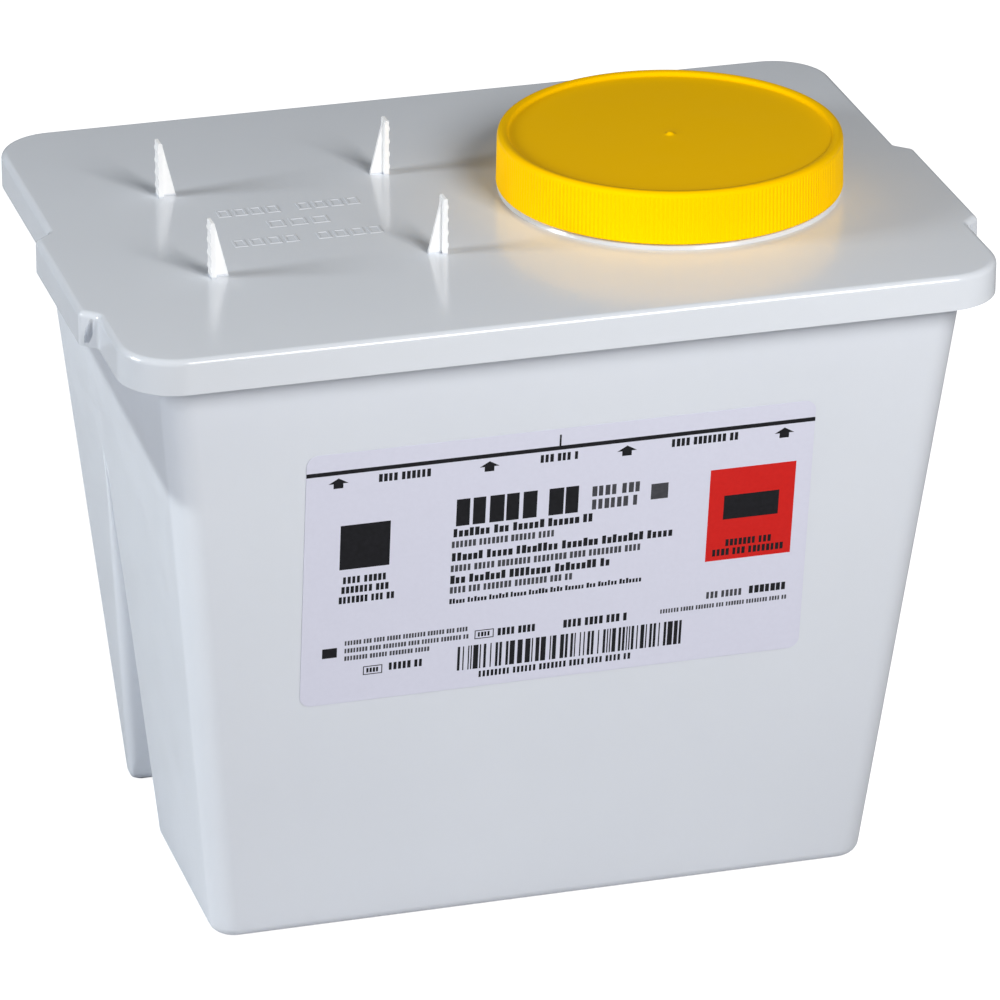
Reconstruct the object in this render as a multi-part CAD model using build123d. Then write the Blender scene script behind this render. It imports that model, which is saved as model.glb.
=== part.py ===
from build123d import *
import math
import os

# Sharps container: tapered bin, press-fit lid with a threaded mouth, screw cap with
# its liner, rim gasket, absorbent pad and front label.
# Millimetres. Origin: centre of the bin's underside. +X towards the mouth,
# -Y is the labelled front, +Z up. HX and HY are half sizes along X and Y.

# ---------------------------------------------------------------- dimensions
GAP = 0.05                          # clearance around the liner, gasket and pad

# bin
BOTTOM_HX, BOTTOM_HY = 104.5, 61.7
SLOPE_X, SLOPE_Y = 0.0963, 0.1394   # outward lean of the end and long walls
RIM_TOP = 205.6
WALL = 2.0
FLOOR = 2.4
BOTTOM_R, RIM_R = 8.0, 9.5          # upright corner radii at underside and rim
FOOT_R = 4.0                        # rounding between walls and underside
INNER_FOOT_R = FOOT_R - 1.5
ROOM_OVERSHOOT = 0.6                # the inside is cut this far past the rim

# upright channel in each end wall, open at the underside and closing to an apex
CHANNEL_APEX_Y, CHANNEL_APEX_Z = 22.5, 130.0
CHANNEL_Y0, CHANNEL_Y1 = 12.2, 51.8  # its edges on the end wall at the underside
CHANNEL_DEPTH = 15.0                # depth at the underside
CHANNEL_DRAFT = 3.2                 # how far each side closes in at full depth
CHANNEL_OVERSHOOT = 14.0            # how far the cutter stands out of the wall
CHANNEL_Z0 = -2.0                   # foot of the cutter, below the underside
CHANNEL_RISE = 3.6                  # rise of the apex per mm the cutter is grown
CHANNEL_TIP_HY, CHANNEL_TIP_DEPTH = 0.25, 0.05

# lid gasket: half sizes and corner radius of its two outlines
GASKET_OUTER = (124.6, 92.2, 9.2)
GASKET_INNER = (122.0, 89.6, 7.2)
GASKET_H = 0.7

# lid
LID_T = 2.2
LID_TOP = RIM_TOP + GAP + GASKET_H + GAP + LID_T
SKIRT_Z = 197.8
LID_HX, LID_HY, LID_R = 135.0, 95.5, 18.0
SKIRT_T = 2.0
LID_EDGE_R = 2.0
PLUG_HX, PLUG_HY, PLUG_R = 119.0, 85.4, 7.0
PLUG_T, PLUG_Z = 1.6, 199.0

# ears: the middle of each end of the lid stands out, between slanted steps
EAR_X = 139.9
EAR_Y0, EAR_Y1 = -50.5, 8.5
EAR_RUN = 4.6                       # length of the slanted step along Y
EAR_OVERLAP = 4.0                   # how far the ear runs into the main outline
EAR_INSET_Y = 0.62                  # Y inset of the ear per mm of outline inset
STEP_R, STEP_INNER_R = 2.2, 1.6     # rounding of the step corners

# rim flange; its front step stays clear behind the latch groove
FLANGE_HX, FLANGE_HY, FLANGE_R = 132.2, 92.9, 15.4
FLANGE_T = 2.0
LIP_Z, LIP_T = 199.6, 1.6
FLANGE_EAR_X = EAR_X - 2.7
FLANGE_EAR_Y0, FLANGE_EAR_Y1 = EAR_Y0 + 6.2, EAR_Y1 - 2.4

# scooped latch groove in each front step, and the block behind it
SLOT_X, SLOT_W, SLOT_TOP = 137.3, 2.6, 206.0
SLOT_DEPTH = 3.4                    # depth at the foot of the skirt
SLOT_CUTTER_H = 30.0
BLOCK = [(134.4, EAR_Y0 - 3.6), (138.9, EAR_Y0 + 0.6),   # x, y
         (138.9, EAR_Y0 + 3.0), (134.4, EAR_Y0 - 0.4)]
BLOCK_TOP = LID_TOP - 1.2

# mouth, neck and collar
MOUTH_X, MOUTH_Y = 57.0, -1.3
MOUTH_R = 46.0
NECK_R, NECK_TOP = 48.2, 222.3
NECK_BASE_R = NECK_R + 3            # where the neck fills the lid's thickness
COLLAR_R, COLLAR_H = 53.0, 1.4
COLLAR_TOP = LID_TOP + COLLAR_H

# screw threads
PITCH, TURNS = 5.0, 1.4
RIDGE_ROOT_W, RIDGE_CREST_W = 2.2, 1.0
RIDGE_BURY = 0.35                   # how far a ridge's root sinks into its wall
NECK_CREST_R, CAP_CREST_R = 49.6, 48.9
NECK_THREAD_Z = 213.4
CAP_THREAD_Z = NECK_THREAD_Z - 1.45

# liner and screw cap
LINER_R, LINER_T = 48.7, 1.2
CAP_Z0, CAP_Z1 = COLLAR_TOP + 0.3, 226.9
CAP_FOOT_R, CAP_TOP_R = 53.35, 53.0
CAP_BORE_R, CAP_RECESS_R = 50.2, 49.6
DISC_Z0 = NECK_TOP + GAP + LINER_T + GAP
DISC_Z1 = DISC_Z0 + 1.9
NUB_R0, NUB_R1, NUB_H = 1.3, 0.5, 1.2   # small cone in the middle of the cap
NUB_SINK = 0.3

# cap-parking fins on the lid
FINS_X, FINS_Y = -60.0, MOUTH_Y     # centre of the group
FIN_DX, FIN_DY = 36.4, 33.6         # to the outer face, and to the web's middle plane
FIN_H, FIN_W, FIN_T = 17.8, 4.6, 1.3
FIN_FOOT_T = FIN_T + 0.25
FIN_SINK = 0.5                      # how far the fins sink into the lid
WEB_REACH, WEB_T = 5.6, 1.2
WEB_TOP = FIN_H - 0.9
RIDGE_COUNT, RIDGE_Z0, RIDGE_STEP = 4, 1.8, 4.1
RIDGE_OUT = 0.22                    # ridges that the cap's thread catches

# absorbent pad
PAD_X, PAD_Y, PAD_T, PAD_R = 166.0, 106.0, 3.5, 8.0
PAD_EDGE_R = 1.2

# label
LABEL_W, LABEL_H, LABEL_T, LABEL_R = 157.6, 88.3, 0.15, 3.6
LABEL_X, LABEL_Z = -1.3, 125.7
LABEL_GAP = 0.02                    # between the label and the front wall


# ---------------------------------------------------------------- helpers
def half_x(z):
    return BOTTOM_HX + SLOPE_X * z


def half_y(z):
    return BOTTOM_HY + SLOPE_Y * z


def rounded(hx, hy, r):
    return RectangleRounded(2 * hx, 2 * hy, r)


def polygon(points, side=1):
    """Face through the points; side -1 mirrors them in X."""
    return make_face(Polyline(*[(side * x, y) for x, y in points], close=True))


def prism(outline, z0, z1):
    return extrude(Pos(0, 0, z0) * outline, z1 - z0)


def turned(points):
    """Solid of revolution about Z from (radius, z) points."""
    return revolve(make_face(Polyline(*points, close=True).rotate(Axis.X, 90)), Axis.Z)


def upright_slab(points, side, thickness):
    """Slab centred on the XZ plane, from (x, z) points."""
    return extrude(Plane.XZ * polygon(points, side), thickness / 2, both=True)


def thread(z_start, root_r, crest_r):
    """One right-hand helical ridge, outward or inward, with its axis on Z."""
    path = Helix(pitch=PITCH, height=PITCH * TURNS, radius=root_r)
    buried_r = root_r - math.copysign(RIDGE_BURY, crest_r - root_r)
    profile = Plane.XZ * polygon([
        (buried_r, -RIDGE_ROOT_W / 2), (crest_r, -RIDGE_CREST_W / 2),
        (crest_r, RIDGE_CREST_W / 2), (buried_r, RIDGE_ROOT_W / 2)])
    return Pos(0, 0, z_start) * sweep(profile, path=path, is_frenet=True)


def eared_outline(hx, hy, r, ear_x, ear_y0, ear_y1):
    """Rounded rectangle with a slant-sided ear at each X end."""
    outline = rounded(hx, hy, r)
    ear = [(hx - EAR_OVERLAP, ear_y0 - EAR_RUN), (hx, ear_y0 - EAR_RUN), (ear_x, ear_y0),
           (ear_x, ear_y1), (hx, ear_y1 + EAR_RUN), (hx - EAR_OVERLAP, ear_y1 + EAR_RUN)]
    for side in (-1, 1):
        outline += polygon(ear, side)
    return outline


# ---------------------------------------------------------------- bin
def tapered(z0, z1, inset, foot_r):
    """Block between the bin's leaning walls, set in from them, rounded at its foot."""
    def section(z):
        corner_r = BOTTOM_R + (RIM_R - BOTTOM_R) * z / RIM_TOP - inset
        return Pos(0, 0, z) * rounded(half_x(z) - inset, half_y(z) - inset, corner_r)

    block = loft([section(z0), section(z1)], ruled=True)
    return fillet(block.edges().group_by(Axis.Z)[0], foot_r)


def channel(side, grow):
    """Cutter for the channel of one end, grown by the wall for the inside."""
    def section(z, y0, y1, depth, draft):
        x_out = half_x(z) + CHANNEL_OVERSHOOT
        x_in = half_x(z) - depth - grow
        flare = draft * CHANNEL_OVERSHOOT / CHANNEL_DEPTH
        return Pos(0, 0, z) * polygon([
            (x_out, y0 - grow - flare), (x_out, y1 + grow + flare),
            (x_in, y1 + grow - draft), (x_in, y0 - grow + draft)], side)

    # the channel widens in proportion to the distance below its apex
    scale = 1.0 - CHANNEL_Z0 / CHANNEL_APEX_Z
    low = section(CHANNEL_Z0,
                  CHANNEL_APEX_Y + (CHANNEL_Y0 - CHANNEL_APEX_Y) * scale,
                  CHANNEL_APEX_Y + (CHANNEL_Y1 - CHANNEL_APEX_Y) * scale,
                  CHANNEL_DEPTH * scale, CHANNEL_DRAFT * scale)
    tip = section(CHANNEL_APEX_Z + grow * CHANNEL_RISE,
                  CHANNEL_APEX_Y - CHANNEL_TIP_HY, CHANNEL_APEX_Y + CHANNEL_TIP_HY,
                  CHANNEL_TIP_DEPTH, 0.0)
    return loft([low, tip], ruled=True)


def flange_outline(inset):
    return eared_outline(FLANGE_HX - inset, FLANGE_HY - inset, FLANGE_R - inset,
                         FLANGE_EAR_X - inset,
                         FLANGE_EAR_Y0 + inset * 0.5, FLANGE_EAR_Y1 - inset * 0.5)


def make_bin():
    body = tapered(0, RIM_TOP, 0, FOOT_R)
    room = tapered(FLOOR, RIM_TOP + ROOM_OVERSHOOT, WALL, INNER_FOOT_R)
    for side in (-1, 1):
        body = body - channel(side, 0)
        room = room - channel(side, WALL)

    # rim flange with a turned-down outer lip
    outline = flange_outline(0)
    flange = prism(outline, RIM_TOP - FLANGE_T, RIM_TOP)
    lip = prism(outline - flange_outline(LIP_T), LIP_Z, RIM_TOP)
    return body + flange + lip - room


# ---------------------------------------------------------------- lid
def lid_outline(inset, step_r):
    inset_y = inset * EAR_INSET_Y
    outline = eared_outline(LID_HX - inset, LID_HY - inset, LID_R - inset,
                            EAR_X - inset, EAR_Y0 + inset_y, EAR_Y1 - inset_y)
    # only the corners of the slanted steps, not those of the rectangle
    steps = [v for v in outline.vertices()
             if abs(v.Y) < 62 and abs(v.X) > LID_HX - inset - 0.6]
    return fillet(steps, step_r)


def make_neck():
    return turned([
        (MOUTH_R, LID_TOP - LID_T), (NECK_BASE_R, LID_TOP - LID_T),
        (NECK_BASE_R, LID_TOP), (COLLAR_R, LID_TOP),
        (COLLAR_R - 0.4, COLLAR_TOP - 0.5), (COLLAR_R - 1.0, COLLAR_TOP),
        (NECK_R, COLLAR_TOP), (NECK_R, NECK_TOP - 0.6), (NECK_R - 0.6, NECK_TOP),
        (MOUTH_R + 0.4, NECK_TOP), (MOUTH_R, NECK_TOP - 0.4)])


def latch_scoop(side):
    """Leaning cylinder that meets the step's face at SLOT_TOP and deepens downwards."""
    face_y = EAR_Y0 - EAR_RUN * (EAR_X - SLOT_X) / (EAR_X - LID_HX)
    lean = math.degrees(math.atan(SLOT_DEPTH / (SLOT_TOP - SKIRT_Z)))
    place = Pos(side * SLOT_X, face_y - SLOT_W / 2, SLOT_TOP) * Rot(lean, 0, 0)
    return place * Cylinder(SLOT_W / 2, SLOT_CUTTER_H)


def fin_profiles():
    """Plate and web of a T-section fin: x outwards from its face, z from the lid's top."""
    plate = [(0, -FIN_SINK), (0, 0.4)]
    for i in range(RIDGE_COUNT):
        z = RIDGE_Z0 + i * RIDGE_STEP
        plate += [(-0.05, z), (RIDGE_OUT, z + 0.8), (RIDGE_OUT, z + 1.4), (-0.05, z + 2.2)]
    plate += [(0, FIN_H - 0.2), (-0.2, FIN_H), (-FIN_T + 0.3, FIN_H),
              (-FIN_T, FIN_H - 0.4), (-FIN_FOOT_T, -FIN_SINK)]
    web = [(-0.5, -FIN_SINK), (-WEB_REACH, -FIN_SINK), (-WEB_REACH, 0.2),
           (-FIN_FOOT_T, WEB_TOP), (-0.5, WEB_TOP)]
    return plate, web


def make_lid():
    lid = prism(lid_outline(0, STEP_R), SKIRT_Z, LID_TOP)
    lid = fillet(lid.edges().group_by(Axis.Z)[-1], LID_EDGE_R)
    lid = lid - prism(lid_outline(SKIRT_T, STEP_INNER_R), SKIRT_Z - 1, LID_TOP - LID_T)

    # locating plug that reaches down inside the bin's mouth
    plug = (rounded(PLUG_HX, PLUG_HY, PLUG_R)
            - rounded(PLUG_HX - PLUG_T, PLUG_HY - PLUG_T, PLUG_R - PLUG_T))
    lid = lid + prism(plug, PLUG_Z, LID_TOP - 1)

    # mouth, with its collar and threaded neck
    lid = lid - Pos(MOUTH_X, MOUTH_Y, LID_TOP) * Cylinder(MOUTH_R, 40)
    lid = lid + Pos(MOUTH_X, MOUTH_Y, 0) * make_neck()
    lid = lid + Pos(MOUTH_X, MOUTH_Y, 0) * thread(NECK_THREAD_Z, NECK_R, NECK_CREST_R)

    for side in (-1, 1):
        lid = lid + prism(polygon(BLOCK, side), SKIRT_Z, BLOCK_TOP)
    for side in (-1, 1):
        lid = lid - latch_scoop(side)

    plate, web = fin_profiles()
    for side in (-1, 1):
        for side_y in (-1, 1):
            place = Pos(FINS_X + side * FIN_DX, FINS_Y + side_y * FIN_DY, LID_TOP)
            lid = lid + place * upright_slab(plate, side, FIN_W)
            lid = lid + place * upright_slab(web, side, WEB_T)
    return lid


# ---------------------------------------------------------------- screw cap and liner
def make_cap():
    cap = turned([
        # underside of the disc, bore and foot
        (0, DISC_Z0), (CAP_BORE_R - 0.8, DISC_Z0), (CAP_BORE_R, DISC_Z0 - 0.8),
        (CAP_BORE_R, CAP_Z0 + 0.4), (CAP_BORE_R + 0.4, CAP_Z0),
        (CAP_FOOT_R - 0.3, CAP_Z0), (CAP_FOOT_R, CAP_Z0 + 0.3),
        # rounded top edge
        (CAP_TOP_R + 0.07, CAP_Z1 - 1.6), (CAP_TOP_R - 0.35, CAP_Z1 - 0.7),
        (CAP_TOP_R - 1.1, CAP_Z1 - 0.1), (CAP_TOP_R - 1.7, CAP_Z1),
        (CAP_TOP_R - 2.3, CAP_Z1 - 0.1),
        # recessed top of the disc
        (CAP_RECESS_R + 0.3, DISC_Z1 + 0.3), (CAP_RECESS_R - 0.5, DISC_Z1), (0, DISC_Z1)])
    cap = cap + thread(CAP_THREAD_Z, CAP_BORE_R, CAP_CREST_R)
    cap = cap + Pos(0, 0, DISC_Z1 - NUB_SINK) * Cone(
        NUB_R0, NUB_R1, NUB_H, align=(Align.CENTER, Align.CENTER, Align.MIN))
    return Pos(MOUTH_X, MOUTH_Y, 0) * cap


def make_liner():
    return Pos(MOUTH_X, MOUTH_Y, NECK_TOP + GAP) * Cylinder(
        LINER_R, LINER_T, align=(Align.CENTER, Align.CENTER, Align.MIN))


# ---------------------------------------------------------------- gasket, pad, label
def make_gasket():
    z = RIM_TOP + GAP
    return prism(rounded(*GASKET_OUTER) - rounded(*GASKET_INNER), z, z + GASKET_H)


def make_pad():
    z = FLOOR + GAP
    pad = prism(RectangleRounded(PAD_X, PAD_Y, PAD_R), z, z + PAD_T)
    return fillet(pad.edges().group_by(Axis.Z)[-1], PAD_EDGE_R)


def make_label():
    tilt = math.atan(SLOPE_Y)
    normal = Vector(0, -math.cos(tilt), -math.sin(tilt))
    centre = Vector(LABEL_X, -half_y(LABEL_Z), LABEL_Z) + normal * LABEL_GAP
    plane = Plane(origin=centre, x_dir=(1, 0, 0), z_dir=normal)
    return extrude(plane * RectangleRounded(LABEL_W, LABEL_H, LABEL_R), LABEL_T)


# ---------------------------------------------------------------- write
os.makedirs("parts", exist_ok=True)
parts = {
    "bin": make_bin(),
    "lid": make_lid(),
    "screw_cap": make_cap(),
    "cap_liner": make_liner(),
    "lid_gasket": make_gasket(),
    "absorbent_pad": make_pad(),
    "front_label": make_label(),
}
for name, shape in parts.items():
    solids = shape.solids()
    out = solids[0] if len(solids) == 1 else Compound(children=list(solids))
    out.label = name
    export_step(out, f"parts/{name}.step")
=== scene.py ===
# A tapered white bin with a flanged rim, a flat lid with upright fins on its -x half, a ribbed
# yellow screw cap on the +x half, and a printed label. The bin stands on z = 0, centred on the
# origin, long side along x. The label is on the front wall, which faces -y; the end walls face
# -x and +x. A gasket lies under the lid, a liner in the cap, and a quilted pad on the bin floor.
import bpy
import bmesh
import math
import random
from itertools import count
from mathutils import Matrix, Vector
from mathutils.geometry import delaunay_2d_cdt


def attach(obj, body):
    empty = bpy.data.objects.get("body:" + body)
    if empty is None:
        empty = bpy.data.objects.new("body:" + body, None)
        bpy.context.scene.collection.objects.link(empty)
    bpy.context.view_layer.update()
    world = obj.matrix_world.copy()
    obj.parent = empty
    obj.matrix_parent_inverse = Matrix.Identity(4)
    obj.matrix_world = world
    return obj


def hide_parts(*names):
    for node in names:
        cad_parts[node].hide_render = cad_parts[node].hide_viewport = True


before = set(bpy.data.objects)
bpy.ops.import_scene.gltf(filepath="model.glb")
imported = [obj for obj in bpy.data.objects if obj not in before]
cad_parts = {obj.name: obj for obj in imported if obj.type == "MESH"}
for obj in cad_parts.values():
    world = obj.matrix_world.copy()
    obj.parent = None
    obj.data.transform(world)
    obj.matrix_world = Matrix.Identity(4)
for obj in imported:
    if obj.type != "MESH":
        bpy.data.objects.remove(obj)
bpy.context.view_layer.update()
scene = bpy.context.scene
MM = 0.001

# ------------------------------------------------------------------ dimensions (mm)
BASE_HALF_X, BASE_HALF_Y = 104.5, 61.7
SLOPE_X, SLOPE_Y = 0.0963, 0.1394            # outward lean of the walls per mm of height
RIM_TOP, WALL, FLOOR = 205.6, 2.0, 2.4
CORNER_R_BASE, CORNER_R_TOP = 8.0, 9.5       # upright corners
FOOT_R, INNER_FOOT_R = 4.0, 2.5              # rounding between floor and walls
# channel in each end wall, widest and deepest at the base, running out at its apex
CHANNEL_APEX_Z, CHANNEL_APEX_Y = 130.0, 22.5
CHANNEL_SHIFT_Y = 9.5                        # how far its middle moves towards +y at the base
CHANNEL_HALF, CHANNEL_DEPTH, CHANNEL_DRAFT = 19.8, 15.0, 3.2
# flange round the rim, its turned-down lip, and the ear that juts out at each end
FLANGE_HALF_X, FLANGE_HALF_Y, FLANGE_R, FLANGE_T = 132.2, 92.9, 15.4, 2.0
LIP_Z, LIP_T = 199.6, 1.6
EAR_X, EAR_Y0, EAR_Y1, EAR_RUN, EAR_R = 137.2, -44.3, 6.1, 4.6, 1.5
LID_TOP = 208.6
CAP_X, CAP_Y = 57.0, -1.3
CAP_Z0, CAP_Z1, CAP_R0, CAP_R1 = 210.3, 226.9, 53.35, 53.0
CAP_BORE, CAP_DISC_TOP, CAP_DISC_T, CAP_RECESS_R = 50.2, 225.5, 1.9, 49.6
RIBS, STEPS_PER_RIB, RIB_DEPTH = 244, 6, 0.42
THREAD_PITCH, THREAD_CREST_R, THREAD_Z = 5.0, 48.9, 211.95
LABEL_W, LABEL_H, LABEL_T, LABEL_R, LABEL_X, LABEL_Z = 157.6, 88.3, 0.15, 3.6, -1.3, 125.7

# mesh steps
FLAT_STEPS, ARC_STEPS = (18, 7, 9, 7, 12), 6   # flats and roundings of an end wall's path
SIDE_STEPS, CORNER_STEPS = 50, 12              # long sides and corners of an outline


# ------------------------------------------------------------------ mesh helpers
def finish_mesh(piece, sharp_degrees, weighted=True):
    """Smooth faces, sharp edges above an angle, and face-weighted normals so flats stay flat."""
    bm = bmesh.new()
    bm.from_mesh(piece.data)
    bmesh.ops.recalc_face_normals(bm, faces=bm.faces)
    limit = math.radians(sharp_degrees)
    for face in bm.faces:
        face.smooth = True
    for edge in bm.edges:
        edge.smooth = not (len(edge.link_faces) == 2 and edge.calc_face_angle(0.0) > limit)
    bm.to_mesh(piece.data)
    bm.free()
    if weighted:
        modifier = piece.modifiers.new("weighted_normals", "WEIGHTED_NORMAL")
        modifier.mode = "FACE_AREA"
        modifier.weight = 50
        modifier.keep_sharp = True


def link_object(name, data):
    made = bpy.data.objects.new(name, data)
    scene.collection.objects.link(made)
    return made


def register(piece, body, replaces=None):
    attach(piece, body)
    if replaces:
        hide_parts(replaces)


def new_piece(name, geometry, body, material, replaces=None, sharp=38.0, weighted=True):
    """geometry: vertices in mm, and faces."""
    verts, faces = geometry
    mesh = bpy.data.meshes.new(name)
    mesh.from_pydata([(x * MM, y * MM, z * MM) for x, y, z in verts], [], faces)
    mesh.validate()
    mesh.materials.append(material)
    mesh.update()
    piece = link_object(name, mesh)
    finish_mesh(piece, sharp, weighted)
    register(piece, body, replaces)
    return piece


def append_geometry(geometry, added):
    """Add the second (verts, faces) pair to the first."""
    verts, faces = geometry
    offset = len(verts)
    verts += added[0]
    faces += [tuple(offset + i for i in face) for face in added[1]]


def loft(rings, wrap=False):
    """Quads between rings of equal length; the last joins the first, or both ends are capped."""
    size = len(rings[0])
    verts = [point for ring in rings for point in ring]
    faces = []
    for k in range(len(rings) if wrap else len(rings) - 1):
        a, b = k * size, (k + 1) % len(rings) * size
        for i in range(size):
            j = (i + 1) % size
            faces.append((a + i, a + j, b + j, b + i))
    if not wrap:
        faces.append(tuple(range(size))[::-1])
        faces.append(tuple(range(len(verts) - size, len(verts))))
    return verts, faces


def lathe(profile, steps):
    """Turn a profile of (radius, z, rib depth) about the cap's axis. Its first and last points
    may lie on the axis."""
    verts, faces, starts = [], [], []
    for radius, z, depth in profile:
        starts.append(len(verts))
        if radius < 1e-6:
            verts.append((CAP_X, CAP_Y, z))
            continue
        for i in range(steps):
            angle = 2 * math.pi * i / steps
            r = radius - depth * groove(i)
            verts.append((CAP_X + r * math.cos(angle), CAP_Y + r * math.sin(angle), z))
    for k in range(len(profile) - 1):
        a, b = starts[k], starts[k + 1]
        for i in range(steps):
            j = (i + 1) % steps
            if profile[k][0] < 1e-6:
                faces.append((a, b + j, b + i))
            elif profile[k + 1][0] < 1e-6:
                faces.append((a + i, a + j, b))
            else:
                faces.append((a + i, a + j, b + j, b + i))
    return verts, faces


def groove(i):
    """0 at a rib's crest, 1 in the groove between two ribs."""
    phase = (i % STEPS_PER_RIB) / STEPS_PER_RIB
    return 1.0 - abs(math.sin(math.pi * (phase + 0.5 / STEPS_PER_RIB))) ** 0.7


def points_between(start, end, steps):
    return [start.lerp(end, k / steps) for k in range(1, steps + 1)]


def rounded_path(corners, radius):
    """Open path through six corners, the inner four rounded. The number of points is always the
    same, so paths at different heights can be joined."""
    points = [Vector(c) for c in corners]
    path = [points[0]]
    previous = points[0]
    for steps, before, corner, after in zip(FLAT_STEPS, points, points[1:], points[2:]):
        back, ahead = before - corner, after - corner
        back_length, ahead_length = back.length, ahead.length
        back, ahead = back / back_length, ahead / ahead_length
        angle = max(math.acos(max(-1.0, min(1.0, back.dot(ahead)))), 1e-4)
        cut = radius / math.tan(angle / 2)
        cut = min(max(cut, 0.35), 0.48 * back_length, 0.48 * ahead_length)
        start, end = corner + back * cut, corner + ahead * cut
        path += points_between(previous, start, steps)
        if angle > math.radians(176):        # nearly straight
            path += points_between(start, end, ARC_STEPS)
        else:
            centre = corner + (back + ahead).normalized() * (cut / math.cos(angle / 2))
            first, last = start - centre, end - centre
            angle0, angle1 = math.atan2(first.y, first.x), math.atan2(last.y, last.x)
            sweep = (angle1 - angle0 + math.pi) % (2 * math.pi) - math.pi
            for k in range(1, ARC_STEPS + 1):
                q = angle0 + sweep * k / ARC_STEPS
                path.append(centre + Vector((math.cos(q), math.sin(q))) * first.length)
        previous = end
    path += points_between(previous, points[-1], FLAT_STEPS[-1])
    return [(p.x, p.y) for p in path]


def outline(half_x, half_y, radius, z, end, side_steps=SIDE_STEPS, corner_steps=CORNER_STEPS):
    """Closed loop round a rounded rectangle. `end` is a list of (y, d): d is how far the end wall
    is set in at y, the same at both ends."""
    points = []
    flat_x, flat_y = half_x - radius, half_y - radius

    def corner(side_x, side_y, start):
        for k in range(corner_steps):
            q = math.radians(start + 90 * k / corner_steps)
            points.append((side_x * flat_x + radius * math.cos(q),
                           side_y * flat_y + radius * math.sin(q), z))

    for side, start, end_points in ((1, -90, end[:-1]), (-1, 90, end[:0:-1])):
        for k in range(side_steps):
            points.append((side * (-flat_x + 2 * flat_x * k / side_steps), -side * half_y, z))
        corner(side, -side, start)
        points += [(side * (half_x - d), y, z) for y, d in end_points]
        corner(side, side, start + 90)
    return points


# ------------------------------------------------------------------ shader helpers
def cleared_tree(owner):
    owner.use_nodes = True
    owner.node_tree.nodes.clear()
    return owner.node_tree


def add_node(tree, kind, inputs=None, **settings):
    """inputs: socket name or index -> a value, or an output socket to link from."""
    node = tree.nodes.new("ShaderNode" + kind)
    for key, value in settings.items():
        setattr(node, key, value)
    for key, value in (inputs or {}).items():
        if isinstance(value, bpy.types.NodeSocket):
            tree.links.new(value, node.inputs[key])
        else:
            node.inputs[key].default_value = value
    return node


def object_material(name):
    """A new material, its empty node tree and its object coordinates."""
    material = bpy.data.materials.new(name)
    tree = cleared_tree(material)
    return material, tree, add_node(tree, "TexCoord").outputs["Object"]


def add_principled(tree, inputs):
    shader = add_node(tree, "BsdfPrincipled", inputs)
    add_node(tree, "OutputMaterial", {"Surface": shader.outputs["BSDF"]})


def noise(tree, coords, scale, detail=3.0, roughness=0.5):
    return add_node(tree, "TexNoise", {"Vector": coords, "Scale": scale, "Detail": detail,
                                       "Roughness": roughness}).outputs["Fac"]


def map_range(tree, value, source, target=(0.0, 1.0)):
    return add_node(tree, "MapRange", {
        "Value": value, "From Min": source[0], "From Max": source[1],
        "To Min": target[0], "To Max": target[1]}).outputs["Result"]


def mix_colour(tree, factor, first, second):
    """first: a colour or a socket. second: a colour."""
    if isinstance(first, tuple):
        first = (*first, 1.0)
    return add_node(tree, "Mix", {"Factor": factor, "A": first, "B": (*second, 1.0)},
                    data_type="RGBA").outputs["Result"]


def multiply(tree, first, second):
    return add_node(tree, "Math", {0: first, 1: second}, operation="MULTIPLY").outputs[0]


def split_xyz(tree, vector):
    return add_node(tree, "SeparateXYZ", {0: vector}).outputs


def bump(tree, height, strength, distance, normal=None):
    inputs = {"Height": height, "Strength": strength, "Distance": distance}
    if normal:
        inputs["Normal"] = normal
    return add_node(tree, "Bump", inputs).outputs["Normal"]


def uneven_roughness(tree, coords, scale, detail, span):
    return map_range(tree, noise(tree, coords, scale=scale, detail=detail), (0.3, 0.7), span)


def camera_switch(tree, others, camera):
    """One shader for camera rays, another for all other rays."""
    seen = add_node(tree, "LightPath").outputs["Is Camera Ray"]
    return add_node(tree, "MixShader", {0: seen, 1: others, 2: camera}).outputs[0]


# ------------------------------------------------------------------ materials
def moulded(name, tones, roughness, roughness_swing=0.05, ior=1.49, specular=0.5, grain_mm=0.5,
            grain=0.10, waviness=0.03, scatter=True, variation=None):
    """Injection-moulded plastic: two close tones in faint clouds, fine grain, slight waviness.
    `variation` returns further shader inputs for one material."""
    material, tree, coords = object_material(name)
    clouds = noise(tree, coords, scale=14.0, detail=4.0, roughness=0.55)
    colour = mix_colour(tree, map_range(tree, clouds, (0.35, 0.65)), *tones)
    waves = bump(tree, noise(tree, coords, scale=9.0, detail=2.0),
                 strength=waviness, distance=0.002)
    fine = noise(tree, coords, scale=1000.0 / grain_mm, detail=2.0, roughness=0.6)
    swing = (roughness - roughness_swing, roughness + roughness_swing)
    inputs = {
        "Base Color": colour,
        "Roughness": uneven_roughness(tree, coords, scale=60.0, detail=3.0, span=swing),
        "IOR": ior,
        "Specular IOR Level": specular,
        "Normal": bump(tree, fine, strength=grain, distance=0.00006, normal=waves),
    }
    if scatter:
        inputs["Subsurface Weight"] = 0.10
        inputs["Subsurface Radius"] = tuple(v * MM for v in (3.0, 3.2, 3.6))
        inputs["Subsurface Scale"] = 1.0
    if variation:
        inputs.update(variation(tree, coords, colour))
    add_principled(tree, inputs)
    return material


def painted_fin_glow(tree, coords, colour):
    """Painted light on the thin upright walls of the -x half: a paler base colour and a faint
    emission stand in for light passing through them.
    """
    fin_foot, fade = 0.2088, 0.0006        # height where the fins start (m), and the blend
    place = split_xyz(tree, coords)
    above = map_range(tree, place["Z"], (fin_foot, fin_foot + fade))
    side = map_range(tree, place["X"], (-0.016, -0.015), (1.0, 0.0))
    fin_glow_mask = multiply(tree, above, side)
    return {"Base Color": mix_colour(tree, fin_glow_mask, colour, (0.94, 0.94, 0.94)),
            "Emission Color": (0.95, 0.98, 1.0, 1.0),
            "Emission Strength": multiply(tree, fin_glow_mask, 0.10)}


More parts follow.
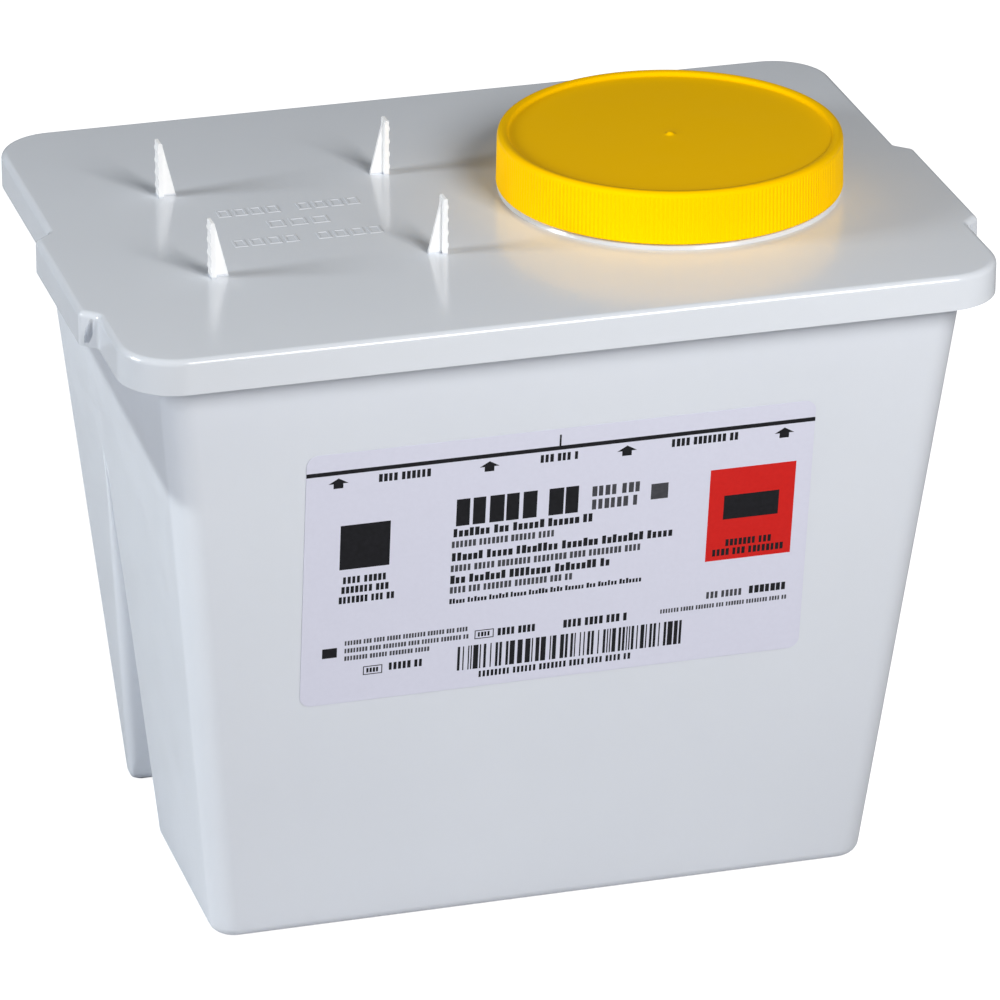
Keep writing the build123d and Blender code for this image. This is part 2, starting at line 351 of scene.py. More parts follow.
def painted_top_shade(tree, coords, colour):
    """Painted shade: upward faces get a deeper colour than the sides, standing in for the lesser
    light on the cap's top; reflections are yellow.
    """
    normal = add_node(tree, "NewGeometry").outputs["Normal"]
    shaded_top_mask = map_range(tree, split_xyz(tree, normal)["Z"], (0.12, 0.72))
    return {"Base Color": mix_colour(tree, shaded_top_mask, colour, (0.90, 0.505, 0.0)),
            "Specular Tint": (1.0, 0.78, 0.0, 1.0)}


def printed(name, tones, roughness, specular=0.5):
    """Coated paper or ink on it: fine fibre mottling, faint fibre relief, satin coating."""
    material, tree, coords = object_material(name)
    mottling = noise(tree, coords, scale=700.0, detail=4.0, roughness=0.6)
    fibres = noise(tree, coords, scale=1800.0, detail=3.0, roughness=0.6)
    add_principled(tree, {
        "Base Color": mix_colour(tree, map_range(tree, mottling, (0.35, 0.65)), *tones),
        "Roughness": uneven_roughness(tree, coords, scale=250.0, detail=2.0,
                                      span=(roughness - 0.05, roughness + 0.06)),
        "Normal": bump(tree, fibres, strength=0.12, distance=0.00002),
        "IOR": 1.45,
        "Specular IOR Level": specular,
    })
    return material


def foam_material():
    material, tree, coords = object_material("liner_foam")
    cells = add_node(tree, "TexVoronoi", {"Vector": coords, "Scale": 1600.0}).outputs["Distance"]
    add_principled(tree, {
        "Base Color": mix_colour(tree, cells, (0.78, 0.78, 0.76), (0.88, 0.88, 0.86)),
        "Roughness": 0.75,
        "Subsurface Weight": 0.2,
        "Subsurface Radius": (0.001, 0.001, 0.001),
        "Subsurface Scale": 1.0,
        "Normal": bump(tree, cells, strength=0.5, distance=0.0002),
    })
    return material


def rubber_material():
    material, tree, coords = object_material("gasket_rubber")
    clouds = noise(tree, coords, scale=120.0, detail=4.0)
    add_principled(tree, {
        "Base Color": mix_colour(tree, clouds, (0.30, 0.31, 0.32), (0.36, 0.37, 0.38)),
        "Roughness": uneven_roughness(tree, coords, scale=300.0, detail=2.0, span=(0.5, 0.68)),
        "Normal": bump(tree, noise(tree, coords, scale=2200.0), strength=0.25, distance=0.00004),
    })
    return material


def fibre_material():
    material, tree, coords = object_material("pad_fibre")
    strands = add_node(tree, "TexWave", {"Vector": coords, "Scale": 260.0, "Distortion": 9.0,
                                         "Detail": 3.0}).outputs["Fac"]
    fuzz = noise(tree, coords, scale=1500.0, detail=5.0, roughness=0.7)
    clouds = noise(tree, coords, scale=90.0, detail=4.0)
    add_principled(tree, {
        "Base Color": mix_colour(tree, clouds, (0.74, 0.76, 0.78), (0.86, 0.87, 0.88)),
        "Roughness": 0.9,
        "Sheen Weight": 0.25,
        "Normal": bump(tree, multiply(tree, strands, fuzz), strength=0.6, distance=0.0004),
    })
    return material


M_BIN = moulded("bin_white_plastic", ((0.725, 0.752, 0.806), (0.712, 0.739, 0.794)),
                roughness=0.36, waviness=0.04)
# the lid's fins carry painted light: a paler colour and a faint glow
M_LID = moulded("lid_white_plastic", ((0.772, 0.803, 0.856), (0.760, 0.791, 0.844)),
                roughness=0.18, roughness_swing=0.03, ior=1.53, grain_mm=0.6, grain=0.03,
                variation=painted_fin_glow)
# the cap's top carries painted shade: its upward faces are coloured deeper than its sides
M_CAP = moulded("cap_yellow_plastic", ((1.0, 0.575, 0.0), (0.985, 0.558, 0.0)),
                roughness=0.34, specular=0.04, grain=0.05, scatter=False, variation=painted_top_shade)
M_PAPER = printed("label_paper", ((0.700, 0.700, 0.815), (0.686, 0.686, 0.800)), roughness=0.42)
M_BLACK = printed("label_ink_black", ((0.008, 0.008, 0.010), (0.012, 0.012, 0.015)),
                  roughness=0.38, specular=0.18)
M_GREY = printed("label_ink_grey", ((0.050, 0.050, 0.058), (0.065, 0.065, 0.075)),
                 roughness=0.40, specular=0.2)
M_RED = printed("label_ink_red", ((0.650, 0.009, 0.005), (0.620, 0.007, 0.004)),
                roughness=0.50, specular=0.3)
M_FOAM, M_RUBBER, M_FIBRE = foam_material(), rubber_material(), fibre_material()


# ------------------------------------------------------------------ bin shell
def wall_half_y(z):
    return BASE_HALF_Y + SLOPE_Y * z


def ear_end(flat_y, depth, y0, y1):
    """End wall path with an ear standing out by depth between y0 and y1."""
    return rounded_path([(-flat_y, 0), (y0 - EAR_RUN, 0), (y0, -depth), (y1, -depth),
                         (y1 + EAR_RUN, 0), (flat_y, 0)], EAR_R)


def channel_end(flat_y, z, inset, inner):
    """End wall path with the channel set in; the inner skin has a channel of its own."""
    if inner:
        share = (137.2 - z) / 139.2        # 0 where the inner channel closes
        depth = max(0.0, -1.95 + 17.18 * share)
        half = 22.1 * share
        radius = 2.0
    else:
        share = 1.0 - z / CHANNEL_APEX_Z   # 1 at the base, 0 at the apex
        depth = max(0.0, CHANNEL_DEPTH * share)
        half = CHANNEL_HALF * share + inset
        radius = 3.6
    middle = CHANNEL_APEX_Y + CHANNEL_SHIFT_Y * max(0.0, 1.0 - z / CHANNEL_APEX_Z)
    half = max(half, 2.6)
    draft = CHANNEL_DRAFT * share if depth > 0 else 0.0
    draft = max(min(draft, half * 0.4), 0.35)
    radius = max(0.05, min(radius, 0.55 * depth))
    return rounded_path([(-flat_y, 0), (middle - half, 0), (middle - half + draft, depth),
                         (middle + half - draft, depth), (middle + half, 0), (flat_y, 0)], radius)


def bin_end(flat_y, z, inset, inner):
    """The channel's points low down; above its top the points slide along the flat wall to the
    places the rim's ears need."""
    channel = channel_end(flat_y, min(z, 138.0), inset, inner)
    if z <= 140:
        return channel
    ear = ear_end(flat_y, 1.0, EAR_Y0, EAR_Y1)
    weight = min(1.0, (z - 140) / 55.0)
    return [(a[0] * (1 - weight) + b[0] * weight, 0.0) for a, b in zip(channel, ear)]


def bin_ring(z, inset=0.0, inner=False):
    """Outline of the wall's outer or inner skin, set in by inset."""
    set_in = inset + WALL if inner else inset
    half_x, half_y = BASE_HALF_X + SLOPE_X * z - set_in, wall_half_y(z) - set_in
    radius = CORNER_R_BASE + (CORNER_R_TOP - CORNER_R_BASE) * z / RIM_TOP - set_in
    return outline(half_x, half_y, radius, z, bin_end(half_y - radius, z, inset, inner))


def foot_ring(k, steps, floor_z, radius, inner):
    """Ring k of the rounding between floor and wall."""
    q = math.radians(84 * k / steps)
    return bin_ring(floor_z + radius * (1 - math.cos(q)), radius * (1 - math.sin(q)), inner)


def flange_ring(z, inset):
    """Outline of the rim flange with its ears, set in by inset."""
    half_x, half_y, radius = FLANGE_HALF_X - inset, FLANGE_HALF_Y - inset, FLANGE_R - inset
    end = ear_end(half_y - radius, EAR_X - inset - half_x,
                  EAR_Y0 + inset * 0.5, EAR_Y1 - inset * 0.5)
    return outline(half_x, half_y, radius, z, end)


def bin_geometry():
    # up the outside
    rings = [foot_ring(k, 8, 0.0, FOOT_R, False) for k in range(9)]
    z = 6.0
    while z < 203.0:
        rings.append(bin_ring(z))
        z += 2.5 if 90 < z < 136 else 4.0    # finer round the channel's apex
    flange_under = RIM_TOP - FLANGE_T
    rings += [bin_ring(203.2), bin_ring(flange_under)]
    # out under the flange, round the lip and over the top: (z, inset)
    for z, inset in ((flange_under, LIP_T), (LIP_Z + 0.25, LIP_T), (LIP_Z, LIP_T - 0.25),
                     (LIP_Z, 0.25), (LIP_Z + 0.25, 0.0), (RIM_TOP - 0.5, 0.0),
                     (RIM_TOP - 0.15, 0.15), (RIM_TOP, 0.5)):
        rings.append(flange_ring(z, inset))
    # down the inside
    for drop, inset in ((0.0, -0.4), (0.12, -0.12), (0.4, 0.0)):
        rings.append(bin_ring(RIM_TOP - drop, inset, True))
    rings += [bin_ring(z, 0.0, True) for z in range(200, 9, -5)]
    rings += [foot_ring(k, 6, FLOOR, INNER_FOOT_R, True) for k in range(6, -1, -1)]
    return loft(rings)


bin_shell = new_piece("bin_shell", bin_geometry(), "bin", M_BIN, "bin", sharp=50.0)


# ------------------------------------------------------------------ screw cap
def cap_radius(z):
    return CAP_R0 + (CAP_R1 - CAP_R0) * (z - CAP_Z0) / (CAP_Z1 - CAP_Z0)


def cap_profile():
    """(radius, z, rib depth) from the disc's underside, down the bore, up the ribs, over the top."""
    top, under = CAP_DISC_TOP, CAP_DISC_TOP - CAP_DISC_T
    profile = [
        (0, under, 0), (12, under, 0), (44.5, under, 0), (CAP_BORE - 1.1, under, 0),
        (CAP_BORE - 0.55, under - 0.15, 0), (CAP_BORE - 0.15, under - 0.55, 0),
        (CAP_BORE, under - 1.1, 0), (CAP_BORE, 216.5, 0), (CAP_BORE, CAP_Z0 + 0.6, 0),
        (CAP_BORE + 0.15, CAP_Z0 + 0.2, 0), (CAP_BORE + 0.5, CAP_Z0, 0),
        (CAP_R0 - 0.55, CAP_Z0, 0), (CAP_R0 - 0.15, CAP_Z0 + 0.12, 0.05),
        (CAP_R0, CAP_Z0 + 0.45, 0.22)]
    # ribbed wall: (z, radius taken off, rib depth)
    for z, less, depth in (
            (CAP_Z0 + 0.9, 0, RIB_DEPTH), (CAP_Z0 + 7, 0, RIB_DEPTH),
            (CAP_Z1 - 2.4, 0, RIB_DEPTH), (CAP_Z1 - 1.95, 0, RIB_DEPTH * 0.8),
            (CAP_Z1 - 1.65, 0.10, 0.10), (CAP_Z1 - 1.42, 0.15, 0)):
        profile.append((cap_radius(z) - less, z, depth))
    # rounded rim
    rim_r = 1.3
    for k in range(1, 10):
        q = math.radians(4 + 98 * k / 9)
        profile.append((CAP_R1 - 1.45 + rim_r * math.cos(q),
                        CAP_Z1 - rim_r + rim_r * math.sin(q), 0))
    # recessed, slightly dished face with a small pip in the middle
    return profile + [
        (CAP_R1 - 2.75, CAP_Z1 - 0.12, 0), (CAP_R1 - 3.15, CAP_Z1 - 0.45, 0),
        (CAP_RECESS_R + 0.05, top + 0.32, 0), (CAP_RECESS_R - 0.35, top + 0.08, 0),
        (CAP_RECESS_R - 0.9, top, 0), (44, top - 0.02, 0), (34, top - 0.06, 0),
        (20, top - 0.08, 0), (6, top - 0.08, 0), (2.2, top - 0.10, 0), (1.35, top - 0.04, 0),
        (0.95, top + 0.35, 0), (0.55, top + 0.62, 0), (0, top + 0.68, 0)]


def thread_ridge():
    """Closed thread ridge inside the bore, running out at both ends."""
    turns, steps = 1.4, 150
    root, root_width, crest_width = CAP_BORE + 0.3, 2.3, 1.0
    sections = []
    for i in range(steps + 1):
        t = i / steps
        angle = 2 * math.pi * turns * t
        height = max(min(1.0, t * 14, (1 - t) * 14), 0.02)
        crest = root + (THREAD_CREST_R - root) * height
        z = THREAD_Z + THREAD_PITCH * turns * t
        flank = root * 0.4 + crest * 0.6
        # half of the section: (radius, distance from its middle)
        half = [(root, root_width / 2), (flank, crest_width * 0.75), (crest, crest_width * 0.4)]
        shape = [(r, -dz) for r, dz in half] + half[::-1]
        sections.append([(CAP_X + r * math.cos(angle), CAP_Y + r * math.sin(angle), z + dz)
                         for r, dz in shape])
    return loft(sections)


cap_geometry = lathe(cap_profile(), RIBS * STEPS_PER_RIB)
append_geometry(cap_geometry, thread_ridge())
cap_piece = new_piece("screw_cap_ribbed", cap_geometry, "cap", M_CAP, "screw_cap",
                      sharp=62.0, weighted=False)

# ------------------------------------------------------------------ liner: (radius, z)
LINER_PROFILE = (
    (0, 222.36), (20, 222.36), (44.6, 222.36), (45.6, 222.40), (46.4, 222.48), (47.4, 222.48),
    (47.9, 222.40), (48.25, 222.37), (48.55, 222.50), (48.68, 222.75), (48.68, 223.15),
    (48.55, 223.40), (48.25, 223.53), (40, 223.54), (20, 223.54), (0, 223.54))
new_piece("cap_liner_foam", lathe([(r, z, 0) for r, z in LINER_PROFILE], 180), "liner", M_FOAM,
          "cap_liner", sharp=60.0)


# ------------------------------------------------------------------ gasket
def gasket_geometry():
    """Flattened bead that follows a rounded rectangle."""
    half_width, half_height, middle_z = 1.3, 0.345, 206.0
    section_steps, end_steps = 16, 40
    rings = []
    for k in range(section_steps):
        q = 2 * math.pi * k / section_steps
        inset = half_width - half_width * math.cos(q)
        z = middle_z + half_height * math.copysign(abs(math.sin(q)) ** 0.7, math.sin(q))
        half_x, half_y, radius = 124.6 - inset, 92.2 - inset, 9.2 - inset * 0.77
        flat_y = half_y - radius
        end = [(-flat_y + 2 * flat_y * i / end_steps, 0.0) for i in range(end_steps + 1)]
        rings.append(outline(half_x, half_y, radius, z, end, side_steps=60, corner_steps=10))
    return loft(rings, wrap=True)


new_piece("lid_gasket_bead", gasket_geometry(), "lid", M_RUBBER, "lid_gasket",
          sharp=80.0)


# ------------------------------------------------------------------ absorbent pad
def pad_geometry():
    """Quilted sheet: puffy diamonds between embossed lines, a crimped border, slight ripples."""
    half_x, half_y, radius = 82.6, 52.6, 8.0
    bottom, top = 2.47, 5.90
    quilt = 15.0                           # spacing of the embossed lines, along x + y
    columns, rows = 150, 96
    rnd = random.Random(7)
    phase = [rnd.uniform(0, 6.28) for _ in range(4)][0]

    def past_corner(x, y):
        return abs(x) - (half_x - radius), abs(y) - (half_y - radius)

    def place(u, v):
        """Grid position, with the corners pulled in to the rounding."""
        x, y = u * half_x, v * half_y
        dx, dy = past_corner(x, y)
        if dx > 0 and dy > 0:
            pull = max(dx, dy) / math.hypot(dx, dy)
            x = math.copysign(half_x - radius + dx * pull, x)
            y = math.copysign(half_y - radius + dy * pull, y)
        return x, y

    def edge_distance(x, y):
        dx, dy = past_corner(x, y)
        if dx > 0 and dy > 0:
            return radius - math.hypot(dx, dy)
        return min(half_x - abs(x), half_y - abs(y))

    def height(x, y):
        edge = edge_distance(x, y)
        diamond = (abs(math.sin(math.pi * (x + y) / quilt))
                   * abs(math.sin(math.pi * (x - y) / quilt)))
        puffed = 0.45 + 0.55 * diamond ** 0.45
        crimped = 0.30 + 0.10 * math.sin(1.9 * (x + y))
        blend = min(1.0, max(0.0, (edge - 4.0) / 3.5))
        blend = blend * blend * (3 - 2 * blend)
        thickness = crimped * (1 - blend) + puffed * blend
        ripple = 0.05 * math.sin(x / 17 + phase) * math.cos(y / 13 + 0.0 + phase_y)
        rim = min(1.0, max(0.0, edge / 0.5))
        return ((top - bottom) * min(1.0, max(0.10, thickness * (0.93 + ripple)))
                * (0.3 + 0.7 * math.sqrt(rim)))

    rnd = random.Random(7)
    phase, phase_y = [rnd.uniform(0, 6.28) for _ in range(4)][:2]
    grid = [place(-1 + 2 * i / columns, -1 + 2 * j / rows)
            for j in range(rows + 1) for i in range(columns + 1)]
    verts = [(x, y, bottom + height(x, y)) for x, y in grid]
    verts += [(x, y, bottom) for x, y in grid]
    under = len(grid)                      # from a top vertex to the one below it

    def at(i, j):
        return j * (columns + 1) + i

    faces = []
    for j in range(rows):
        for i in range(columns):
            a, b, c, d = at(i, j), at(i + 1, j), at(i + 1, j + 1), at(i, j + 1)
            faces.append((a, b, c, d))
            faces.append((a + under, d + under, c + under, b + under))
    border = ([at(i, 0) for i in range(columns)] + [at(columns, j) for j in range(rows)]
              + [at(i, rows) for i in range(columns, 0, -1)]
              + [at(0, j) for j in range(rows, 0, -1)])
    for a, b in zip(border, border[1:] + border[:1]):
        faces.append((a, a + under, b + under, b))
    return verts, faces


new_piece("absorbent_pad_quilt", pad_geometry(), "bin", M_FIBRE, "absorbent_pad",
          sharp=70.0, weighted=False)

# ------------------------------------------------------------------ label print
# Printed regions, later ones on top: (polygon in x and height z, ink). Inks number the slots.
PAPER, BLACK, GREY, RED = range(4)
regions = []
row_seeds = count(1)


def rect(x0, x1, z0, z1, ink=BLACK):
    regions.append(([(x0, z0), (x1, z0), (x1, z1), (x0, z1)], ink))


def block_row(x0, x1, z_middle, height, ink=BLACK, fill=0.74, even=True):
    """A row of plain blocks in random groups. Their number follows from the size of the row
    alone. fill is a block's share of its pitch; an uneven row has mostly lower blocks."""
    rnd = random.Random(next(row_seeds))
    blocks = max(3, round((x1 - x0) / (height * 0.62)))
    groups = []
    while sum(groups) < blocks:
        groups.append(min(rnd.randint(3, 8), blocks - sum(groups)))
    gap = 0.55                             # between groups, in pitches
    pitch = (x1 - x0) / (sum(groups) + (len(groups) - 1) * gap)
    x = x0
    z0 = z_middle - height / 2
    for group in groups:
        for k in range(group):
            tall = even or k == 0 or rnd.random() < 0.25
            width = pitch * fill * rnd.uniform(0.88, 1.06)
            rect(x + 0.04, x + width, z0, z0 + (height if tall else height * 0.76), ink)
            x += pitch
        x += pitch * gap


def block_rows(*rows):
    for row in rows:
        block_row(*row)


# level line across the sheet, its tick, four arrows below it, and three rows between them
rect(LABEL_X - LABEL_W / 2 - 2, LABEL_X + LABEL_W / 2 + 2, 162.15, 163.55)
rect(-2.55, -1.95, 163.55, 167.4)
for x in (-70.2, -23.9, 18.7, 68.0):
    regions.append(([(x, 161.0), (x - 3.1, 159.15), (x - 1.5, 159.15), (x - 1.5, 157.5),
                     (x + 1.5, 157.5), (x + 1.5, 159.15), (x + 3.1, 159.15)], BLACK))
block_rows((-57.9, -41.6, 159.5, 2.7), (-8.2, 3.9, 159.7, 2.7), (32.6, 53.8, 160.0, 2.7))
# plain dark square with three rows below
rect(-69.1, -53.7, 129.0, 144.4)
block_rows((-67.9, -54.2, 125.2, 2.4), (-68.3, -53.4, 121.8, 2.4), (-69.0, -51.6, 118.3, 2.4))
# headline and the small pair beside it
block_rows((-33.6, 5.4, 144.3, 9.3, BLACK, 0.86), (8.5, 24.0, 146.3, 3.5, GREY),
           (8.6, 23.4, 141.7, 3.5, GREY))
rect(27.0, 32.4, 141.1, 146.5, GREY)
# seven lines of small print
block_rows(
    (-34.2, 9.4, 137.3, 2.9, BLACK, 0.8, False),
    (-34.6, -2.4, 133.3, 2.3, GREY),
    (-34.4, 34.9, 128.9, 2.9, BLACK, 0.8, False),
    (-34.6, 25.0, 124.9, 2.3, GREY),
    (-34.6, 15.6, 121.0, 2.9, BLACK, 0.8, False),
    (-34.6, 3.9, 117.3, 2.3, GREY),
    (-34.6, 25.8, 113.4, 1.8, BLACK, 0.78, False))
# red field with a plain bar and two rows of blocks
rect(45.5, 72.5, 116.7, 148.9, RED)
rect(50.3, 67.7, 131.0, 139.4)
block_rows((51.6, 66.4, 122.7, 2.4), (47.6, 70.4, 119.5, 2.4))
# framed boxes, then their rows and the rows beside them
for x0, x1, z in ((-26.2, -20.2, 100.5), (-60.7, -54.7, 92.5)):
    rect(x0, x1, z - 1.55, z + 1.55)
    rect(x0 + 0.3, x1 - 0.3, z - 1.25, z + 1.25, PAPER)
block_rows((-25.2, -21.2, 100.5, 1.6), (-59.7, -55.7, 92.5, 1.6), (-19.0, -6.9, 100.6, 2.6),
           (1.6, 22.0, 100.6, 2.8), (-52.7, -41.9, 93.0, 2.6))
# upright bars of random width, and the row below
rnd = random.Random(99)
x = -31.3
while x < 39.6:
    width = rnd.choice((0.40, 0.40, 0.40, 0.80, 0.80, 1.20, 1.60))
    rect(x, min(x + width, 39.9), 88.4, 96.9)
    x += width + rnd.choice((0.42, 0.42, 0.84, 0.84, 1.25))
block_row(-24.4, 23.9, 86.3, 2.2, fill=0.66)
# small block and rows at the foot, left and right
rect(-73.6, -69.0, 98.4, 101.8)
block_rows((-66.7, -28.3, 103.0, 1.6, GREY), (-66.7, -27.9, 100.3, 1.6, GREY),
           (-66.7, -40.0, 97.6, 1.6, GREY), (46.6, 58.2, 104.6, 2.4, GREY),
           (60.2, 72.2, 104.9, 2.7, BLACK, 0.84), (32.2, 72.6, 100.8, 1.5, GREY))


# ------------------------------------------------------------------ label sheet
def sheet_outline():
    points = []
    for turn, (side_x, side_y) in enumerate(((1, 1), (-1, 1), (-1, -1), (1, -1))):
        for k in range(9):
            q = math.radians(90 * turn + 90 * k / 8)
            points.append(Vector((side_x * (LABEL_W / 2 - LABEL_R) + LABEL_R * math.cos(q),
                                  side_y * (LABEL_H / 2 - LABEL_R) + LABEL_R * math.sin(q))))
    return points


def label_mesh():
    """Sheet lying on the leaning front wall, the printed regions cut into its face."""
    tilt = math.atan(SLOPE_Y)
    up = Vector((0, -math.sin(tilt), math.cos(tilt)))
    outward = Vector((0, -math.cos(tilt), -math.sin(tilt)))
    origin = Vector((LABEL_X, -wall_half_y(LABEL_Z), LABEL_Z)) + outward * 0.02

    flat_points = sheet_outline()
    polygons = [list(range(len(flat_points)))]
    half = LABEL_W / 2
    for polygon, _ in regions:
        polygons.append(list(range(len(flat_points), len(flat_points) + len(polygon))))
        flat_points += [Vector((min(max(x - LABEL_X, -half), half),
                                (z - LABEL_Z) / math.cos(tilt))) for x, z in polygon]
    cut_points, _, cut_faces, _, _, sources = delaunay_2d_cdt(flat_points, [], polygons, 1, 1e-5)
    faces, inks = [], []
    for face, source in zip(cut_faces, sources):
        if 0 in source:                    # inside the sheet
            faces.append(list(face))
            topmost = max(source)
            inks.append(PAPER if topmost == 0 else regions[topmost - 1][1])
    verts = [origin + outward * LABEL_T + Vector((1, 0, 0)) * p.x + up * p.y for p in cut_points]

    mesh = bpy.data.meshes.new("front_label_sheet")
    mesh.from_pydata([tuple(p * MM) for p in verts], [], faces)
    for material in (M_PAPER, M_BLACK, M_GREY, M_RED):
        mesh.materials.append(material)
    mesh.polygons.foreach_set("material_index", inks)
    bm = bmesh.new()
    bm.from_mesh(mesh)
    loose = [v for v in bm.verts if not v.link_faces]
    bmesh.ops.delete(bm, geom=loose, context="VERTS")
    # give the sheet its thickness and close the back
    border = [e for e in bm.edges if e.is_boundary]
    extruded = bmesh.ops.extrude_edge_only(bm, edges=border)["geom"]
    low = [g for g in extruded if isinstance(g, bmesh.types.BMVert)]
    bmesh.ops.translate(bm, verts=low, vec=-outward * LABEL_T * MM)
    bmesh.ops.contextual_create(bm, geom=[e for e in bm.edges if e.is_boundary])
    for face in bm.faces:
        if face.normal.dot(outward) < 0.5:
            face.material_index = PAPER
    bmesh.ops.recalc_face_normals(bm, faces=bm.faces)
    bm.to_mesh(mesh)
    bm.free()
    return mesh


label = link_object("front_label_sheet", label_mesh())
register(label, "bin", "front_label")


# ------------------------------------------------------------------ raised marks on the lid
def raised_frame(x, y, width):
    """A low raised rectangle outline with sloped sides."""
    half_x, half_y = width / 2, 5.4 / 2
    line, slope, top, sunk = 0.62, 0.2, 0.16, -0.05
    # (grown by, height above the lid)
    loops = ((slope, sunk), (0.0, top), (-line, top), (-line - slope, sunk))
    return loft([[(x + sx * (half_x + grow), y + sy * (half_y + grow), LID_TOP + z)
                  for sx, sy in ((-1, -1), (1, -1), (1, 1), (-1, 1))]
                 for grow, z in loops], wrap=True)


def lid_marks():
    geometry = [], []
    gap = 0.9                              # between groups, in pitches
    # rows: x0, x1, y, marks in each group
    for x0, x1, y, groups in ((-82.8, -37.3, 12.5, (4, 4)), (-70.0, -49.6, 0.6, (3,)),
                              (-83.9, -36.6, -12.0, (4, 4))):
        pitch = (x1 - x0) / (sum(groups) + (len(groups) - 1) * gap)
        x = x0
        for group in groups:
            for _ in range(group):
                append_geometry(geometry, raised_frame(x + pitch * 0.45, y, pitch * 0.74))
                x += pitch
            x += pitch * gap
    return geometry


marks = new_piece("lid_raised_marks", lid_marks(), "lid", M_LID, sharp=25.0)


# ------------------------------------------------------------------ lid
def lid_mesh():
    """The CAD shape with joined vertices."""
    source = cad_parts["lid"].data
    mesh = bpy.data.meshes.new("lid_shell")
    mesh.from_pydata([tuple(v.co) for v in source.vertices], [],
                     [tuple(p.vertices) for p in source.polygons])
    bm = bmesh.new()
    bm.from_mesh(mesh)
    bmesh.ops.remove_doubles(bm, verts=bm.verts, dist=0.000004)
    bmesh.ops.dissolve_degenerate(bm, edges=bm.edges, dist=0.000002)
    bm.to_mesh(mesh)
    bm.free()
    mesh.materials.append(M_LID)
    return mesh


lid_shell = link_object("lid_shell", lid_mesh())
finish_mesh(lid_shell, 24.0)
register(lid_shell, "lid", "lid")


# ------------------------------------------------------------------ floor and world (metres)
def add_sheet(name, corners, material):
    mesh = bpy.data.meshes.new(name)
    mesh.from_pydata(corners, [], [(0, 1, 2, 3)])
    sheet = link_object(name, mesh)
    mesh.materials.append(material)
    return sheet


def floor_material():
    """Pale diffuse floor that glows strongly for the camera and faintly for other rays."""
    material = bpy.data.materials.new("floor_pale")
    tree = cleared_tree(material)
    diffuse = add_node(tree, "BsdfDiffuse", {"Color": (0.74, 0.74, 0.75, 1)}).outputs[0]
    faint = add_node(tree, "Emission", {"Strength": 0.02}).outputs[0]
    strong = add_node(tree, "Emission", {"Strength": 0.92}).outputs[0]
    glow = camera_switch(tree, others=faint, camera=strong)
    both = add_node(tree, "AddShader", {0: diffuse, 1: glow}).outputs[0]
    add_node(tree, "OutputMaterial", {"Surface": both})
    return material


REACH, FLOOR_Z = 14, -0.0002
floor = add_sheet("floor", [(-REACH, -REACH, FLOOR_Z), (REACH, -REACH, FLOOR_Z),
                            (REACH, REACH, FLOOR_Z), (-REACH, REACH, FLOOR_Z)], floor_material())

world = bpy.data.worlds.new("studio")
scene.world = world
tree = cleared_tree(world)
dim = add_node(tree, "Background", {"Color": (0.93, 0.97, 1.0, 1), "Strength": 0.10}).outputs[0]
white = add_node(tree, "Background", {"Color": (1, 1, 1, 1), "Strength": 1.0}).outputs[0]
add_node(tree, "OutputWorld", {"Surface": camera_switch(tree, others=dim, camera=white)})


# ------------------------------------------------------------------ lights (metres)
def object_set(name, members):
    collection = bpy.data.collections.new(name)
    for member in members:
        collection.objects.link(member)
    return collection


def add_light(name, shape, size, location, direction, distance, level, colour):
    """level is the diffuse value a white surface facing the light would show at distance."""
    data = bpy.data.lights.new(name, "AREA")
    data.shape = shape
    data.size = size[0]
    if shape == "RECTANGLE":
        data.size_y = size[1]
    data.energy = level * math.pi * math.pi * distance * distance
    data.color = colour
    light = link_object(name, data)
    light.location = location
    light.rotation_euler = direction.to_track_quat("-Z", "Y").to_euler()
    return light


# azimuth (0 = front, -90 = -x side) and elevation in degrees, distance, size, level, colour,
# target, and the only objects lit (None = all)
LIGHTS = (
    ("key", 18, 34, 0.98, (0.38, 0.38), 0.775, (1.0, 0.995, 0.985), (0, 0, 0.19), None),
    ("left", -91, 21, 0.88, (0.25, 0.25), 0.54, (0.94, 0.975, 1.0), (0, 0, 0.19),
     (lid_shell, marks, cap_piece, label)),
    ("left_bin", -91, 21, 1.15, (0.32, 0.32), 0.31, (0.89, 0.935, 1.0), (0, 0, 0.19),
     (bin_shell, floor)),
    ("corner", -55, 20, 1.4, (0.30, 0.30), 0.20, (0.93, 0.97, 1.0), (-0.10, -0.06, 0.12),
     (bin_shell, label)),
    ("back_fill", 165, 14, 1.6, (0.9, 0.7), 0.26, (0.97, 0.985, 1.0), (0, 0, 0.12),
     (bin_shell,)),
    ("cap_fill", -38, 8, 1.3, (0.40, 0.30), 0.38, (1.0, 1.0, 0.98), (0.057, 0, 0.21),
     (cap_piece,)),
)
for name, azimuth, elevation, distance, size, level, colour, target, only in LIGHTS:
    a, e = math.radians(azimuth), math.radians(elevation)
    away = Vector((math.sin(a) * math.cos(e), -math.cos(a) * math.cos(e), math.sin(e)))
    light = add_light(name, "RECTANGLE", size, Vector(target) + away * distance, -away,
                      distance, level, colour)
    if only:
        light.light_linking.receiver_collection = object_set(name + "_receivers", only)


def flag_material(name):
    """Seen by shadow rays only."""
    material = bpy.data.materials.new(name)
    tree = cleared_tree(material)
    clear = add_node(tree, "BsdfTransparent").outputs[0]
    black = add_node(tree, "BsdfDiffuse", {"Color": (0, 0, 0, 1)}).outputs[0]
    shadow = add_node(tree, "LightPath").outputs["Is Shadow Ray"]
    mixed = add_node(tree, "MixShader", {0: shadow, 1: clear, 2: black}).outputs[0]
    add_node(tree, "OutputMaterial", {"Surface": mixed})
    return material


